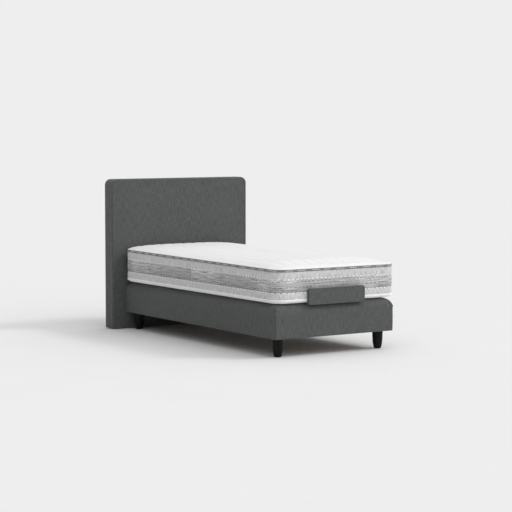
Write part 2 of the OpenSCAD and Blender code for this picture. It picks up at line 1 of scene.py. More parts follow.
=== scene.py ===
"""The looks of a single bed with an electric adjustable base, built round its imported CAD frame.

Metres throughout. X runs across the bed, +Y towards the headboard and +Z up."""
import json
import math

import bmesh
import bpy
import numpy as np
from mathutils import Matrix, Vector


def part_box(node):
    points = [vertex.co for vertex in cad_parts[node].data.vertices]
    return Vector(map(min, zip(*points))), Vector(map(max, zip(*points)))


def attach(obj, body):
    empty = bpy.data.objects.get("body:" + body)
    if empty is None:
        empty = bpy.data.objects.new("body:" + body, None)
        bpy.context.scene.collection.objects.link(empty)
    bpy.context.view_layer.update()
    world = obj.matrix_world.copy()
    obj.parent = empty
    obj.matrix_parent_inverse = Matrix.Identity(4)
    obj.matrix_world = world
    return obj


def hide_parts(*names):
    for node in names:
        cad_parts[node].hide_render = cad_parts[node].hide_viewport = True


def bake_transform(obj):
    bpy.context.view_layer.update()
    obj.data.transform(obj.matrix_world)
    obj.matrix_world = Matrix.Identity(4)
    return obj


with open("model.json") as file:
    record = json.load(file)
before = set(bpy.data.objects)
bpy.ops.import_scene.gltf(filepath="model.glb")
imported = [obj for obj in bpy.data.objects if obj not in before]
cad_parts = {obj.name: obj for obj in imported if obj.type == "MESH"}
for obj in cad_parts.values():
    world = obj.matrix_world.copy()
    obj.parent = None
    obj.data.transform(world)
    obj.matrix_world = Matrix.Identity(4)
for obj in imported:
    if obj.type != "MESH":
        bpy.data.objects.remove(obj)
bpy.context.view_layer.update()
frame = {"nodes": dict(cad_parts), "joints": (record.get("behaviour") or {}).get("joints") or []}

MM = 0.001
CLOTH = "cloth"  # the UV map that says where a point is on its cloth, in metres
SHARP = math.radians(48)  # edges that turn more than this are shaded sharp

hinge_at = {joint["name"]: Vector(joint["pos_m"]) for joint in frame["joints"] if "pos_m" in joint}


# ---- Shader nodes ----

def add_node(tree, kind, inputs=None, **settings):
    """A new shader node. inputs maps a socket's name or number to a value, or to an output to link."""
    node = tree.nodes.new("ShaderNode" + kind)
    for name, value in settings.items():
        setattr(node, name, value)
    for key, value in (inputs or {}).items():
        if isinstance(value, bpy.types.NodeSocket):
            tree.links.new(value, node.inputs[key])
        else:
            node.inputs[key].default_value = value
    return node


def maths(tree, operation, *values):
    return add_node(tree, "Math", dict(enumerate(values)), operation=operation).outputs[0]


def weighted_sum(tree, *terms):
    """The sum of (value, weight) pairs."""
    total = maths(tree, "MULTIPLY", *terms[0])
    for term in terms[1:]:
        total = maths(tree, "ADD", total, maths(tree, "MULTIPLY", *term))
    return total


def fade(tree, value, start, end, low=0.0, high=1.0):
    """Turns start..end into low..high, and keeps it there outside."""
    node = add_node(tree, "MapRange", {0: value, 1: start, 2: end, 3: low, 4: high})
    return node.outputs[0]


def mix_colours(tree, share, low, high):
    """low where share is 0, high where it is 1."""
    node = add_node(tree, "Mix", {0: share, 6: low, 7: high}, data_type="RGBA")
    return node.outputs[2]


def stretched(tree, place, sizes):
    """place measured in steps of sizes metres along its axes."""
    steps = tuple(1 / size for size in sizes)
    return add_node(tree, "VectorMath", {0: place, 1: steps}, operation="MULTIPLY").outputs[0]


def noise(tree, place, sizes, detail=2.0):
    """Cloudy noise, 0 to 1, with blots of about sizes metres."""
    place = stretched(tree, place, sizes)
    return add_node(tree, "TexNoise", {"Vector": place, "Scale": 1.0, "Detail": detail}).outputs[0]


def cloth_place(tree):
    """Where a point is on its cloth, in metres."""
    return add_node(tree, "UVMap", uv_map=CLOTH).outputs[0]


def solid_place(tree):
    """Where a point is in its piece's own axes, in metres."""
    return add_node(tree, "TexCoord").outputs["Object"]


def parts_of(tree, place):
    """The numbers along a place's axes."""
    return add_node(tree, "SeparateXYZ", {0: place}).outputs


def grey(level, tint=(1.0, 1.0, 1.0)):
    """A colour of that brightness, with its red, green and blue scaled by tint."""
    return tuple(level * share for share in tint) + (1.0,)


def start_material(name, **sockets):
    """A material, its node tree and its shader, with the shader's constant sockets set."""
    material = bpy.data.materials.new(name)
    material.use_nodes = True
    tree = material.node_tree
    shader = tree.nodes["Principled BSDF"]
    for socket, value in sockets.items():
        shader.inputs[socket.replace("_", " ")].default_value = value
    return material, tree, shader


def connect(tree, shader, colour, height=None, depth=MM, roughness=None):
    """Links a colour, and a height in shares of depth, to the shader."""
    tree.links.new(colour, shader.inputs["Base Color"])
    if height is not None:
        bump = add_node(tree, "Bump", {"Height": height, "Distance": depth})
        tree.links.new(bump.outputs[0], shader.inputs["Normal"])
    if roughness is not None:
        tree.links.new(roughness, shader.inputs["Roughness"])


def plain_weave(tree, place, pitch):
    """Height of threads that pass over and under each other, 0 to 1."""
    across, along = parts_of(tree, place)[:2]
    warp = maths(tree, "SINE", maths(tree, "MULTIPLY", across, math.pi / pitch))
    weft = maths(tree, "SINE", maths(tree, "MULTIPLY", along, math.pi / pitch))
    over = maths(tree, "GREATER_THAN", maths(tree, "MULTIPLY", warp, weft), 0.0)
    threads = add_node(tree, "Mix", {0: over, 2: maths(tree, "ABSOLUTE", warp),
                                     3: maths(tree, "ABSOLUTE", weft)}, data_type="FLOAT")
    return threads.outputs[0]


# ---- Materials: cloth ----

COOL = (0.97, 1.02, 1.0)  # tint of the upholstery's greys


def upholstery_fabric():
    """Mid-grey woven fabric of mixed dark and light yarns, with slubs along its threads."""
    material, tree, shader = start_material(
        "upholstery_fabric", Roughness=0.92, Specular_IOR_Level=0.2, Sheen_Weight=0.18,
        Sheen_Roughness=0.45)
    place = cloth_place(tree)
    threads = plain_weave(tree, place, 1.7 * MM)
    upright = noise(tree, place, (5 * MM, 55 * MM, 1), 3)
    across = noise(tree, place, (45 * MM, 4 * MM, 1), 3)
    flecks = noise(tree, place, (3 * MM, 3 * MM, 1), 3)
    clouds = noise(tree, place, (0.3, 0.4, 1), 2)
    tone = fade(tree, weighted_sum(tree, (upright, 0.5), (across, 0.28), (flecks, 0.42)), 0.42, 0.78)
    colour = mix_colours(tree, tone, grey(0.048, COOL), grey(0.142, COOL))
    cloudy = fade(tree, clouds, 0.3, 0.7, 0.0, 0.1)
    colour = mix_colours(tree, cloudy, colour, grey(0.17, COOL))
    height = maths(tree, "ADD", threads, maths(tree, "MULTIPLY", upright, 0.8))
    connect(tree, shader, colour, height, 0.35 * MM)
    return material


def mattress_knit(name, low, high, rib_size):
    """Soft pale knit with fine ribs of that size on the cloth, and scattered loops."""
    material, tree, shader = start_material(
        name, Roughness=0.95, Sheen_Weight=0.12, Sheen_Roughness=0.5, Specular_IOR_Level=0.15)
    place = cloth_place(tree)
    ribs = noise(tree, place, (*rib_size, 1), 2)
    loops = noise(tree, place, (6 * MM, 5 * MM, 1), 3)
    tone = weighted_sum(tree, (ribs, 0.55), (loops, 0.45))
    colour = mix_colours(tree, fade(tree, tone, 0.36, 0.64), grey(low), grey(high))
    threads = plain_weave(tree, place, 2.2 * MM)
    connect(tree, shader, colour, maths(tree, "ADD", threads, ribs), 0.4 * MM)
    return material


ROW_SHIFT = 40.0  # stitches by which rows a metre apart are out of step


def stitches_at(tree, place, height, pitch, share, half_width):
    """1 on the uneven stitches of one sewn line at that height on the cloth, 0 elsewhere.

    pitch is from stitch to stitch, and share is the part of it that the thread takes."""
    along, up = parts_of(tree, place)[:2]
    shift = maths(tree, "ADD", noise(tree, place, (2 * pitch, 0.3, 1), 1), ROW_SHIFT * height)
    phase = maths(tree, "FRACT", maths(tree, "ADD", maths(tree, "DIVIDE", along, pitch), shift))
    on = maths(tree, "LESS_THAN", phase, share)
    off_line = maths(tree, "ABSOLUTE", maths(tree, "SUBTRACT", up, height))
    return maths(tree, "MULTIPLY", on, maths(tree, "LESS_THAN", off_line, half_width))


DENSE_REPEAT = 0.86  # from one length of denser weave to the next
PAINTED_SHADE_REACH = 80 * MM  # height over which painted shade darkens the band towards its low edge
PAINTED_SEAM_SHADOW = 9 * MM  # height of the painted shadow line along its low edge


def mattress_band(low_edge, stitch_heights):
    """Darker band of mixed yarns round the mattress, with painted shade that darkens it towards its low
    edge and a painted shadow line along that edge, lines of dark stitches and lengths of denser weave."""
    material, tree, shader = start_material(
        "mattress_band", Roughness=0.95, Sheen_Weight=0.1, Sheen_Roughness=0.5, Specular_IOR_Level=0.15)
    place = cloth_place(tree)
    along, up = parts_of(tree, place)[:2]
    yarns = noise(tree, place, (110 * MM, 5 * MM, 1), 3)
    flecks = noise(tree, place, (7 * MM, 5 * MM, 1), 3)
    tone = weighted_sum(tree, (yarns, 0.68), (flecks, 0.32))
    colour = mix_colours(tree, fade(tree, tone, 0.39, 0.61), grey(0.3), grey(0.84))
    dense = maths(tree, "FRACT", maths(tree, "DIVIDE", along, DENSE_REPEAT))
    colour = mix_colours(tree, fade(tree, dense, 0.5, 0.75, 0.3, 0.0), colour, grey(0.2))
    # painted shade: darker towards the band's low seam, with a painted shadow line along that seam
    for reach, share, level in ((PAINTED_SHADE_REACH, 0.35, 0.12), (PAINTED_SEAM_SHADOW, 0.5, 0.07)):
        painted_shade = fade(tree, up, low_edge, low_edge + reach, share, 0.0)
        colour = mix_colours(tree, painted_shade, colour, grey(level))
    strong = fade(tree, noise(tree, place, (0.16, 14 * MM, 1), 1), 0.42, 0.6, 0.15, 0.8)
    for height in stitch_heights:
        stitches = stitches_at(tree, place, height, 34 * MM, 0.5, 2.2 * MM)
        colour = mix_colours(tree, maths(tree, "MULTIPLY", stitches, strong), colour, grey(0.05))
    connect(tree, shader, colour, maths(tree, "ADD", yarns, flecks), 0.8 * MM)
    return material


def stitch_row(name, ground, thread, pitch, share):
    """A row of long pale stitches over a darker ground."""
    material, tree, shader = start_material(
        name, Roughness=0.9, Sheen_Weight=0.1, Sheen_Roughness=0.5, Specular_IOR_Level=0.2)
    place = cloth_place(tree)
    stitches = stitches_at(tree, place, 0.0, pitch, share, 1.0)
    strands = noise(tree, place, (14 * MM, 2 * MM, 1), 2)
    worn = maths(tree, "MULTIPLY", stitches, fade(tree, strands, 0.3, 0.7, 0.75, 1.0))
    colour = mix_colours(tree, worn, grey(ground), grey(thread))
    connect(tree, shader, colour, maths(tree, "ADD", stitches, strands), 0.6 * MM)
    return material


def rope_piping(name, low, high, twist):
    """Corded piping: dark and light strands that wind round it."""
    material, tree, shader = start_material(name, Roughness=0.9, Sheen_Weight=0.1, Specular_IOR_Level=0.2)
    place = cloth_place(tree)
    along, up = parts_of(tree, place)[:2]
    wound = maths(tree, "DIVIDE", maths(tree, "ADD", along, up), twist)
    strands = maths(tree, "SINE", maths(tree, "MULTIPLY", wound, 2 * math.pi))
    uneven = noise(tree, place, (20 * MM, 4 * MM, 1), 2)
    tone = maths(tree, "ADD", fade(tree, strands, -1, 1, 0.0, 0.6), maths(tree, "MULTIPLY", uneven, 0.4))
    colour = mix_colours(tree, tone, grey(low), grey(high))
    connect(tree, shader, colour, strands, 0.7 * MM)
    return material


def backing_cloth():
    """Thin black non-woven cloth with pressed dimples."""
    material, tree, shader = start_material("backing_cloth", Roughness=0.85, Specular_IOR_Level=0.3)
    place = solid_place(tree)
    fibres = noise(tree, place, (9 * MM, 9 * MM, 9 * MM), 6)
    aside = add_node(tree, "VectorMath", {0: place, 1: (1, 0, 0)}).outputs[0]
    dimples = plain_weave(tree, aside, 4 * MM)
    colour = mix_colours(tree, fibres, grey(0.012), grey(0.035))
    connect(tree, shader, colour, maths(tree, "ADD", fibres, dimples), 0.3 * MM)
    return material


# ---- Materials: hard parts ----

def wood(name, dark, light, grain, roughness, gloss):
    """Wood whose rings are drawn out by grain metres along each axis, under a coat of that gloss."""
    material, tree, shader = start_material(
        name, Roughness=roughness, Coat_Weight=gloss, Coat_Roughness=0.25)
    place = solid_place(tree)
    rings = noise(tree, place, grain, 6)
    pores = noise(tree, place, tuple(size / 6 for size in grain), 2)
    tone = weighted_sum(tree, (rings, 0.7), (pores, 0.3))
    colour = mix_colours(tree, fade(tree, tone, 0.35, 0.65), dark, light)
    connect(tree, shader, colour, pores, 0.15 * MM)
    return material


def black_lacquer():
    """Black lacquer over faint upright grain, dulled and scuffed near the floor."""
    material, tree, shader = start_material("leg_black", Specular_IOR_Level=0.15)
    place = solid_place(tree)
    grain = noise(tree, place, (2.5 * MM, 2.5 * MM, 60 * MM), 4)
    scuffs = noise(tree, place, (6 * MM, 6 * MM, 3 * MM), 5)
    up = parts_of(tree, place)[2]
    low_down = fade(tree, up, 4 * MM, 35 * MM, 1.0, 0.0)
    worn = maths(tree, "MULTIPLY", low_down, fade(tree, scuffs, 0.55, 0.75))
    colour = mix_colours(tree, grain, grey(0.003), grey(0.006))
    colour = mix_colours(tree, worn, colour, grey(0.03))
    lacquer = fade(tree, grain, 0.3, 0.7, 0.34, 0.42)
    roughness = maths(tree, "ADD", lacquer, maths(tree, "MULTIPLY", worn, 0.3))
    connect(tree, shader, colour, grain, 0.1 * MM, roughness)
    return material


def powder_coat():
    """Black powder-coated steel, with a fine orange-peel surface."""
    material, tree, shader = start_material("black_steel", Metallic=0.0, Specular_IOR_Level=0.5)
    place = solid_place(tree)
    peel = noise(tree, place, (1.6 * MM,) * 3, 3)
    clouds = noise(tree, place, (0.12,) * 3, 3)
    colour = mix_colours(tree, clouds, grey(0.012), grey(0.022))
    connect(tree, shader, colour, peel, 0.12 * MM, fade(tree, clouds, 0.3, 0.7, 0.42, 0.55))
    return material


def zinc_plate():
    """Zinc-plated steel with fine turning marks and dull patches."""
    material, tree, shader = start_material("bright_steel", Metallic=1.0)
    place = solid_place(tree)
    marks = noise(tree, place, (0.5 * MM, 30 * MM, 30 * MM), 3)
    patches = noise(tree, place, (25 * MM,) * 3, 4)
    zinc = (0.98, 1.0, 1.03)
    colour = mix_colours(tree, patches, grey(0.5, zinc), grey(0.68, zinc))
    connect(tree, shader, colour, marks, 0.05 * MM, fade(tree, patches, 0.3, 0.7, 0.26, 0.45))
    return material


def moulded(name, low, high, roughness, texture):
    """Moulded rubber or plastic, with an eroded texture of that size."""
    material, tree, shader = start_material(name, Specular_IOR_Level=0.4)
    place = solid_place(tree)
    grain = noise(tree, place, (texture,) * 3, 3)
    dust = noise(tree, place, (40 * MM,) * 3, 4)
    colour = mix_colours(tree, dust, grey(low), grey(high))
    rough = fade(tree, dust, 0.3, 0.7, roughness - 0.06, roughness + 0.06)
    connect(tree, shader, colour, grain, 0.15 * MM, rough)
    return material


# ---- Meshes ----

WELD = 0.02 * MM  # points closer than this become one


def make_piece(name, patches, materials):
    """One welded mesh from patches. A patch is a grid of points, a grid of places on the cloth in
    metres, and the number of its material."""
    mesh = bpy.data.meshes.new(name)
    shape = bmesh.new()
    layer = shape.loops.layers.uv.new(CLOTH)
    for points, cloth, number in patches:
        rows, columns = points.shape[:2]
        corners = [[shape.verts.new(point) for point in row] for row in points]
        for j in range(rows - 1):
            for i in range(columns - 1):
                around = ((j, i), (j, i + 1), (j + 1, i + 1), (j + 1, i))
                face = shape.faces.new([corners[row][column] for row, column in around])
                face.smooth = True
                face.material_index = number
                for loop, (row, column) in zip(face.loops, around):
                    loop[layer].uv = cloth[row, column]
    bmesh.ops.remove_doubles(shape, verts=shape.verts, dist=WELD)
    bmesh.ops.recalc_face_normals(shape, faces=shape.faces)
    shape.to_mesh(mesh)
    shape.free()
    mesh.set_sharp_from_angle(angle=SHARP)
    piece = bpy.data.objects.new(name, mesh)
    bpy.context.scene.collection.objects.link(piece)
    for material in materials:
        mesh.materials.append(material)
    return piece


def ripple(a, b, size, seed):
    """Gentle unevenness between about -1 and 1, the same at every run.

    It adds up four waves that are longer and longer, each turned away from the last."""
    total = np.zeros_like(a)
    for k in range(1, 5):
        turn = seed + 2.4 * k
        wave = 2 * math.pi / (size * (0.6 + 0.35 * k))
        total = total + np.sin((a * math.cos(turn) + b * math.sin(turn)) * wave + 5.1 * seed * k) / 4
    return total


def smooth_step(value, start, end):
    """0 up to start, 1 from end on, and a soft rise between them."""
    share = np.clip((value - start) / (end - start), 0, 1)
    return share * share * (3 - 2 * share)


class Plan:
    """An outline with round corners, as a grid of points that can be grown or shrunk.

    a runs across and b along. An end with radius 0 is a flat cut, which never grows along b. The low
    end grows by low_growth at most."""

    def __init__(self, half_width, low, high, low_radius, high_radius, step, columns, low_growth=math.inf):
        rows = []
        turns = [math.radians(angle) for angle in (0, 9, 18, 30, 45, 60, 75, 90)]
        if low_radius:
            rows += [self.corner(half_width, low + low_radius, low_radius, -turn) for turn in turns[:0:-1]]
        first, last = low + low_radius, high - high_radius
        count = max(1, round((last - first) / step))
        rows += [(first + (last - first) * k / count, half_width, 1.0, 0.0) for k in range(count + 1)]
        if high_radius:
            rows += [self.corner(half_width, high - high_radius, high_radius, turn) for turn in turns[1:]]
        self.b, self.half, self.out_a, self.out_b = (np.array(part)[:, None] for part in zip(*rows))
        self.share = np.linspace(-1, 1, columns + 1)[None, :]
        self.ring = self.make_ring(len(rows) - 1, columns)
        self.low_growth = low_growth

    @staticmethod
    def corner(half_width, centre, radius, turn):
        """One row of a round corner: b, half width, and how far it grows along a and b."""
        reach = half_width - radius + radius * math.cos(turn)
        return centre + radius * math.sin(turn), reach, math.cos(turn), math.sin(turn)

    @staticmethod
    def make_ring(rows, columns):
        """Row and column numbers round the edge, from half-way up the right side and back to it."""
        middle = rows // 2
        up = [(j, columns) for j in range(middle, rows)]
        back = [(rows, i) for i in range(columns, 0, -1)]
        down = [(j, 0) for j in range(rows, 0, -1)]
        front = [(0, i) for i in range(columns)]
        home = [(j, columns) for j in range(middle + 1)]
        return tuple(np.array(up + back + down + front + home).T)

    def at(self, out):
        """The grid's a and b, with its outline grown by out."""
        a = self.share * (self.half + out * self.out_a)
        grown = np.where(self.out_b < 0, min(out, self.low_growth), out)
        b = self.b + grown * self.out_b + 0 * self.share
        return a, b


def way_round(ring_a, ring_b, middle):
    """How far round an outline its points are, on a scale that is b at the middle of its left side."""
    steps = np.hypot(np.diff(ring_a), np.diff(ring_b))
    around = np.concatenate([[0], np.cumsum(steps)])
    left = int(np.argmin(np.abs(ring_b - middle) + (ring_a > 0)))
    return ring_b[left] + around[left] - around


def flat_patch(a, b, c, number):
    """A patch over a whole plan at heights c, with its cloth laid flat."""
    return np.stack([a, b, c], -1), np.stack([a, b], -1), number


def slab(plan, face_height, walls, by_height=False):
    """Patches of a slab: its face, its walls, and its flat back at the last wall's last height.

    face_height gives the face's height from a and b. walls lists (material number, [(out, height)]),
    from the face down. The walls' place on the cloth is by height, or else by the way down."""
    a, b = plan.at(0)
    c = face_height(a, b)
    patches = [flat_patch(a, b, c, 0)]
    around = way_round(a[plan.ring], b[plan.ring], b.mean())
    rows = [np.stack([a[plan.ring], b[plan.ring], c[plan.ring]], -1)]
    for number, profile in walls:
        rows = rows[-1:]
        for out, height in profile:
            grown_a, grown_b = plan.at(out)
            level = np.full(len(around), height)
            rows.append(np.stack([grown_a[plan.ring], grown_b[plan.ring], level], -1))
        points = np.array(rows)
        travel = np.linalg.norm(np.diff(points, axis=0), axis=2).mean(axis=1)
        down = points[:, :, 2] if by_height else np.concatenate([[0], np.cumsum(travel)])[:, None]
        cloth = np.stack(np.broadcast_arrays(around[None, :], down), -1)
        patches.append((points, cloth, number))
    last_number, last_profile = walls[-1]
    out, height = last_profile[-1]
    a, b = plan.at(out)
    patches.append(flat_patch(a, b, np.full_like(a, height), last_number))
    return patches


def standing(patches, front):
    """Turns patches so that b points up, and the face looks towards the foot end from y = front."""
    turned = []
    for points, cloth, number in patches:
        a, b, c = (points[..., axis] for axis in range(3))
        turned.append((np.stack([a, front - c, b], -1), cloth, number))
    return turned


def arc(centre_out, centre_height, radius, start, end, steps):
    """Profile points on an arc, with angles in degrees from straight out towards the face."""
    angles = np.radians(np.linspace(start, end, steps + 1))
    return [(centre_out + radius * math.cos(t), centre_height + radius * math.sin(t)) for t in angles]


# ---- Padded box ----

RIM_RADIUS = 64 * MM  # rounding of the box's top edge
LIP_RADIUS = 6 * MM  # the same on its inner side, beside the mattress
LOW_RADIUS = 5 * MM  # the same at the low edge
RAIL_THICK = 22 * MM
BATTEN = 22 * MM  # height of the batten along the top of a rail
CORNER_RADIUS = 4.5 * MM  # softness of the upright corners
MITRE_RADIUS = 2.5 * MM  # the same where two rims meet

SWELL = 1.4 * MM  # how far a full cover stands out half-way up
UNEVEN = 0.5 * MM
SEAM_DEPTH = 2.2 * MM  # how deep the seam at a mitre pulls the cover in
SEAM_WIDTH = 5 * MM
PUCKER = 0.5 * MM  # height of the small folds beside that seam
PUCKER_SIZE = 7 * MM
PUCKER_REACH = 35 * MM
KNOT = 6 * MM  # how far the folded end of the seam stands out, at the top of the corner
KNOT_HEIGHT = 6 * MM  # how far above the start of the rim it is
KNOT_SIZE = (9 * MM, 7 * MM)
NEAR_MITRE = (0.004, 0.01, 0.018, 0.028, 0.04)  # closer rows of points there, as shares of half a run


class BoxSizes:
    """Sizes of the padded box, all read from its CAD nodes."""

    def __init__(self):
        low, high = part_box("side_cover_left")
        rail_low, rail_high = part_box("side_rail_left")
        self.foot, self.head = low.y, high.y
        self.half_width = -low.x
        self.low = low.z
        self.tall = high.z - low.z
        self.rim_low = self.tall - RIM_RADIUS
        self.rim = high.x - low.x
        self.pad = rail_low.x - low.x
        self.under = rail_low.z - low.z
        self.rail_top = rail_high.z - low.z
        self.batten_end = rail_high.x - low.x


box = BoxSizes()


def cover_section():
    """Depths and heights round the section of the padded cover, and which of them are seen."""
    low_edge = [(LOW_RADIUS, 0.0), (0.3 * LOW_RADIUS, 0.3 * LOW_RADIUS)]
    face = [(0.0, height) for height in np.linspace(LOW_RADIUS, box.rim_low, 13)]
    rounding = [(RIM_RADIUS * (1 - math.cos(t)), box.rim_low + RIM_RADIUS * math.sin(t))
                for t in np.radians(np.linspace(6, 90, 15))]
    lip = [(box.rim - LIP_RADIUS * (1 - math.sin(t)), box.tall - LIP_RADIUS * (1 - math.cos(t)))
           for t in np.radians((0, 30, 60, 90))]
    seen = low_edge + face + rounding + lip
    batten_low = box.rail_top - BATTEN
    rail_back = box.pad + RAIL_THICK
    over_batten = [(box.rim, batten_low), (box.batten_end, batten_low), (box.batten_end, box.rail_top)]
    behind_padding = [(box.pad, box.rail_top), (box.pad, box.under)]
    under_rail = [(rail_back, box.under), (rail_back, 0.0), (box.pad, 0.0)]
    hidden = over_batten + behind_padding + under_rail
    section = [(box.pad, 0.0)] + seen + hidden
    shown = [0.0] + [1.0] * len(seen) + [0.0] * len(hidden)
    return np.array(section), np.array(shown)


def section_normals(section):
    """Directions out of the section's outline, from its two sides at each point."""
    ahead = np.roll(section, -1, axis=0) - section
    behind = section - np.roll(section, 1, axis=0)
    along = ahead / np.maximum(np.linalg.norm(ahead, axis=1, keepdims=True), 1e-9)
    along += behind / np.maximum(np.linalg.norm(behind, axis=1, keepdims=True), 1e-9)
    across = np.stack([-along[:, 1], along[:, 0]], -1)
    return across / np.maximum(np.linalg.norm(across, axis=1, keepdims=True), 1e-9)


def cover_rows(depth, radius, length):
    """Rows from a mitred end to the middle: distance along, depth, and distance beyond the mitre."""
    rows = []
    for turn in np.radians((45, 30, 15, 0)):
        along = depth + radius * (1 - math.sin(turn))
        rows.append((along, depth + radius * (1 - math.cos(turn)), 0 * along))
    for share in (*NEAR_MITRE, *np.linspace(0.055, 1, 40)):
        beyond = share * (length / 2 - depth - radius)
        rows.append((depth + radius + beyond, depth, beyond))
    return rows


def cover_lift(along, beyond, depth, height, above, seed):
    """How far a full cover stands out: it swells, is drawn in at the mitre's seam, and puckers."""
    swell = np.sin(math.pi * np.clip(height / box.rim_low, 0, 1)) * (1 - above)
    uneven = ripple(along, height + depth, 0.35, seed)
    seam = above * np.exp(-(beyond / SEAM_WIDTH) ** 2)
    pucker = above * np.exp(-beyond / PUCKER_REACH) * np.sin(along / PUCKER_SIZE + seed)
    from_knot = (height - box.rim_low - KNOT_HEIGHT) / KNOT_SIZE[1]
    knot = np.exp(-from_knot ** 2 - (beyond / KNOT_SIZE[0]) ** 2)
    return SWELL * swell + UNEVEN * uneven - SEAM_DEPTH * seam + PUCKER * pucker + KNOT * knot


def cover_half(section, shown, length, fullness, seed):
    """Rows of cover from its mitred end to its middle: distance along, depth and height."""
    depth, height = section.T
    normals = section_normals(section)
    above = smooth_step(height, box.rim_low - 8 * MM, box.rim_low + 14 * MM)
    radius = shown * (CORNER_RADIUS * (1 - above) + MITRE_RADIUS * above)
    points = []
    for along, inward, beyond in cover_rows(depth, radius, length):
        lift = fullness * shown * cover_lift(along, beyond, depth, height, above, seed)
        points.append(np.stack([along, inward + lift * normals[:, 0], height + lift * normals[:, 1]], -1))
    return np.array(points)


def cover_patches(length, fullness, seed):
    """One run of cover, in its own axes: along from corner to corner, depth inwards, height."""
    section, shown = cover_section()
    near = cover_half(section, shown, length, fullness, seed)
    far = cover_half(section, shown, length, fullness, seed + 1)[::-1].copy()
    far[..., 0] = length - far[..., 0]
    points = np.concatenate([near, far[1:]])
    travel = np.linalg.norm(np.diff(section, axis=0), axis=1)
    up = np.concatenate([[0], np.cumsum(travel)])
    cloth = np.stack([points[..., 0], np.broadcast_to(up, points.shape[:2])], -1)
    return points, cloth


def add_cover(name, node, length, place, fullness, seed, fabric):
    """A run of cover that replaces its CAD node. place turns (along, depth, height) to the frame."""
    points, cloth = cover_patches(length, fullness, seed)
    along, depth, height = (points[..., axis] for axis in range(3))
    placed = np.stack(place(along, depth, height + box.low), -1)
    piece = make_piece(name, [(placed, cloth, 0)], [fabric])
    close_ends(piece)
    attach(piece, "box_frame")
    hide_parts(node)
    return piece


def close_ends(piece):
    """Fills the open ends of a run."""
    shape = bmesh.new()
    shape.from_mesh(piece.data)
    edges = [edge for edge in shape.edges if edge.is_boundary]
    bmesh.ops.holes_fill(shape, edges=edges, sides=0)
    bmesh.ops.recalc_face_normals(shape, faces=shape.faces)
    shape.to_mesh(piece.data)
    shape.free()
    piece.data.set_sharp_from_angle(angle=SHARP)


def padded_box(fabric):
    """The four runs of cover. The one at the head end is pulled flat by the headboard."""
    wide, long = 2 * box.half_width, box.head - box.foot
    add_cover("left_side_padding", "side_cover_left", long,
              lambda a, d, h: (d - box.half_width, a + box.foot, h), 1.0, 1, fabric)
    add_cover("right_side_padding", "side_cover_right", long,
              lambda a, d, h: (box.half_width - d, a + box.foot, h), 1.0, 3, fabric)
    add_cover("foot_end_padding", "foot_cover", wide,
              lambda a, d, h: (a - box.half_width, d + box.foot, h), 1.0, 5, fabric)
    add_cover("head_end_padding", "head_cover", wide,
              lambda a, d, h: (a - box.half_width, box.head - d, h), 0.0, 7, fabric)


# ---- Headboard and mattress stop ----

SIDE_SWELL = 0.8 * MM  # how far the sides of a padded front stand out
SEAM_START = 3 * MM  # how far behind the front edge's rounding its seam starts
SEAM_MIDDLE = 5 * MM  # where that seam is deepest
SEAM_DIP = 1.2 * MM
SIDE_STEPS = 8


def padded_shell(name, node, board, body, radii, edge, face_height, fabric, columns, step):
    """A padded front with sides that wrap round a board, in place of a standing CAD cover.

    radii are those of the low and top corners, and edge is the softness of the front edge."""
    low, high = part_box(node)
    board_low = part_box(board)[0]
    board_out = edge - (board_low.x - low.x)
    board_front = low.y - board_low.y
    low_growth = min(edge, radii[0])
    plan = Plan((high.x - low.x) / 2 - edge, low.z + low_growth, high.z - edge,
                max(radii[0] - edge, 1 * MM), radii[1] - edge, step, columns, low_growth)
    back = low.y - high.y
    front = arc(0, -edge, edge, 90, 0, 6)[1:]
    seam = [(edge, -edge - SEAM_START), (edge - SEAM_DIP, -edge - SEAM_MIDDLE)]
    side = [(edge + SIDE_SWELL * math.sin(math.pi * k / SIDE_STEPS),
             -edge + (edge + SEAM_START + back) * k / SIDE_STEPS) for k in range(2, SIDE_STEPS + 1)]
    round_board = [(edge, back), (board_out, back), (board_out, board_front)]
    patches = standing(slab(plan, face_height(plan), [(0, front + seam + side + round_board)]), low.y)
    piece = make_piece(name, patches, [fabric])
    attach(piece, body)
    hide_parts(node)
    return piece


def flat_front(swell, unevenness, seed):
    """A front that swells from its edge to its middle, a little unevenly, and never past its plane."""
    def for_plan(plan):
        half, low, high = plan.half.max(), plan.b.min(), plan.b.max()

        def height(a, b):
            across = 1 - np.clip(np.abs(a) / half, 0, 1) ** 4
            up = 1 - np.abs(np.clip((b - low) / (high - low), 0, 1) * 2 - 1) ** 4
            rise = across * up
            return (rise - 1) * swell - rise * unevenness * (1 + ripple(a, b, 0.5, seed)) / 2
        return height
    return for_plan


def headboard(fabric):
    padded_shell("headboard_padding", "headboard_cover", "headboard_panel", "box_frame",
                 radii=(3 * MM, 48 * MM), edge=14 * MM, face_height=flat_front(2 * MM, 1.2 * MM, 2),
                 fabric=fabric, columns=60, step=22 * MM)


def mattress_stop(fabric):
    padded_shell("mattress_stop_padding", "stop_cover", "stop_board", "calf_section",
                 radii=(11 * MM, 20 * MM), edge=6 * MM, face_height=flat_front(1.5 * MM, 0.6 * MM, 4),
                 fabric=fabric, columns=48, step=8 * MM)


# ---- Mattress ----

